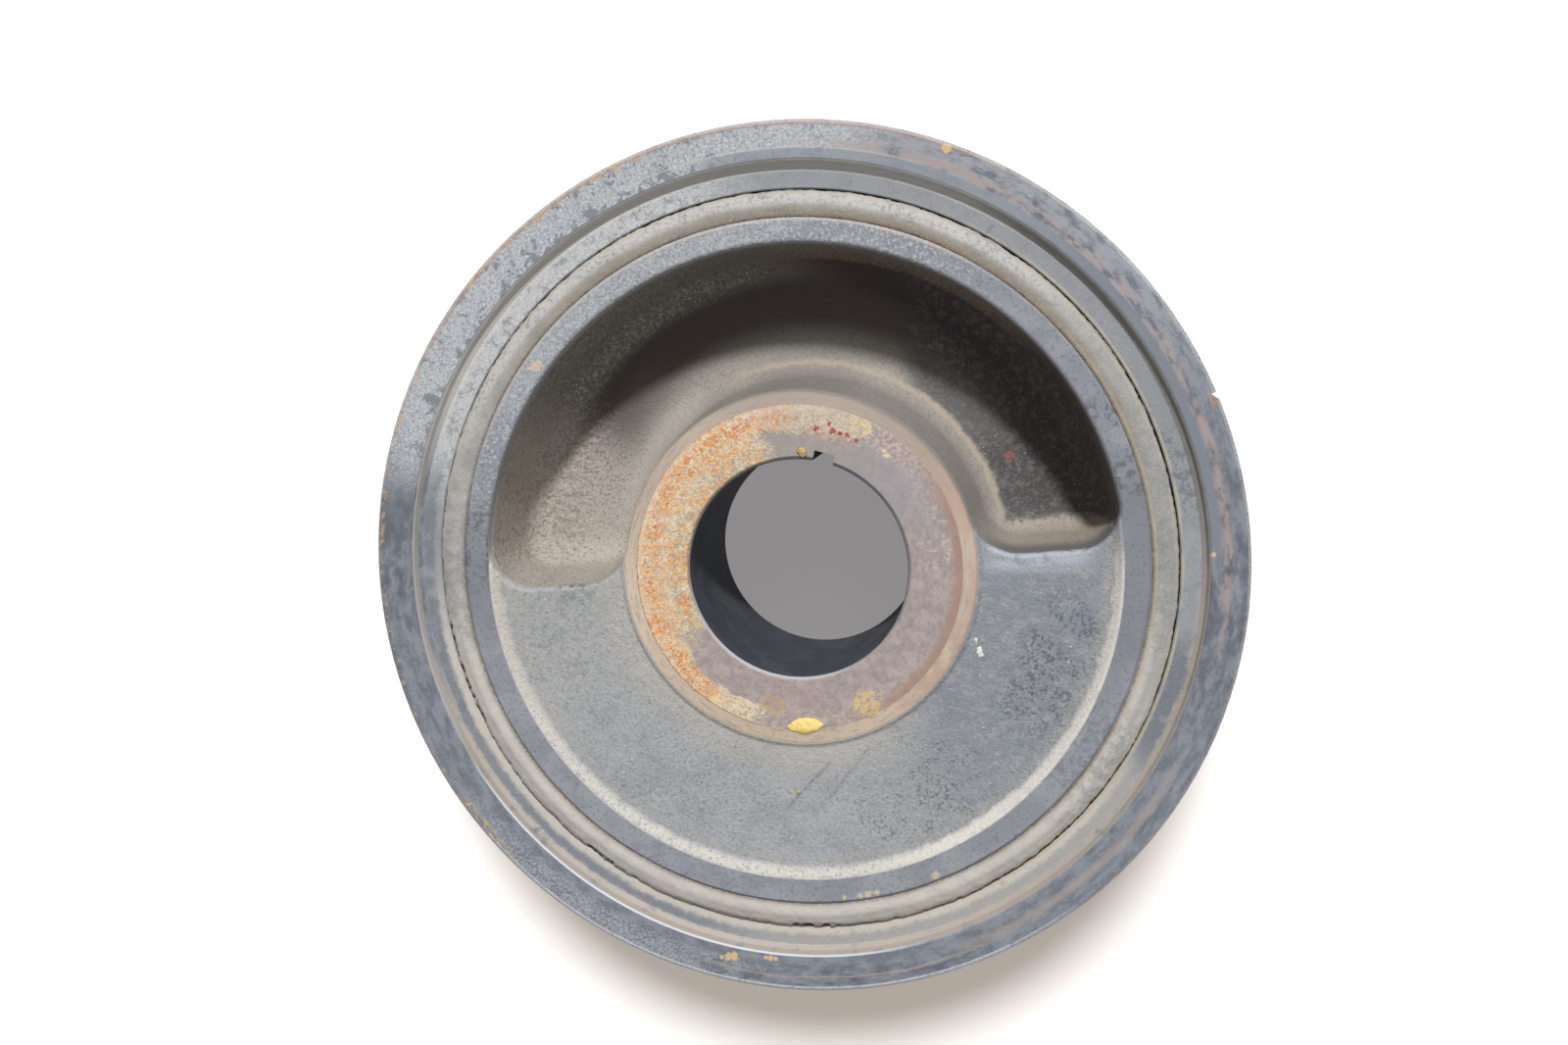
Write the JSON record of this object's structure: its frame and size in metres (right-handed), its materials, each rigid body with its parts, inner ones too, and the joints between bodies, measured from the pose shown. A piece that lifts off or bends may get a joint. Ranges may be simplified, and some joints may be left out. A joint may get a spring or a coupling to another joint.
{
  "type": "harmonic balancer",
  "caption": "Round engine harmonic balancer: an iron hub with a crescent pocket and counterweight, a rubber ring and an outer inertia ring. It damps twist in a crankshaft.",
  "frame": {"origin": "on the bore axis, in the plane of the hub's pulley face, which the part lies on", "axes": "+Z along the bore towards the engine side with the open pocket, +Y to the middle of the pocket, +X to the right seen from above"},
  "size_m": [0.2032, 0.2032, 0.06],
  "materials": {
    "hub_iron": "dark worn iron, machined rim and boss, rust and dust",
    "rubber": "dusty aged rubber",
    "ring_iron": "turned iron with worn dark paint"
  },
  "bodies": {
    "root": {"hub": "hub_iron", "elastomer_ring": "rubber", "inertia_ring": "ring_iron"}
  },
  "joints": []
}
